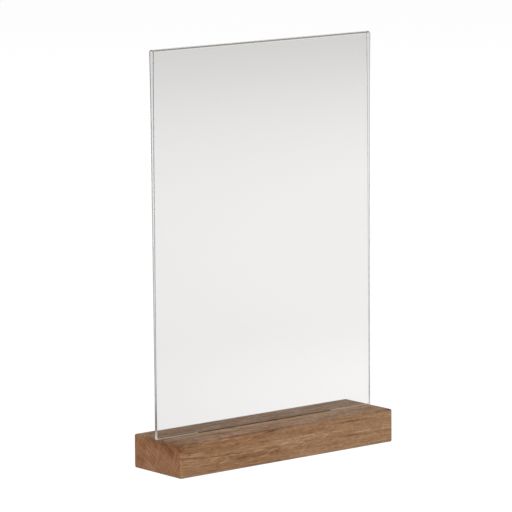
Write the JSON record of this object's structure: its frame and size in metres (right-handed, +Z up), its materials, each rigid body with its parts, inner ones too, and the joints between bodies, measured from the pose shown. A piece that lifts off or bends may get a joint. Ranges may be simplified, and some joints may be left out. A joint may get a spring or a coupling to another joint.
{
  "type": "card holder",
  "caption": "Tabletop card holder: a clear acrylic sheet folded double along its top stands in a slot in a solid oak base and lifts out.",
  "frame": {"origin": "centre of the flat underside of the oak base", "axes": "+Z up, +X along the width of the pocket and the length of the base, front towards -Y"},
  "size_m": [0.215, 0.058, 0.3255],
  "materials": {
    "oiled_oak": "planed and sanded solid oak, oiled, matt",
    "clear_acrylic": "clear cast acrylic sheet, glossy, polished edges"
  },
  "bodies": {
    "base": {"oak_base": "oiled_oak"},
    "pocket": {"front_leaf": "clear_acrylic", "back_leaf": "clear_acrylic", "top_fold": "clear_acrylic"}
  },
  "joints": [
    {"name": "pocket_lift", "type": "slide", "parent": "base", "child": "pocket", "axis": [0, 0, 1], "range_m": [0, 0.03]}
  ]
}
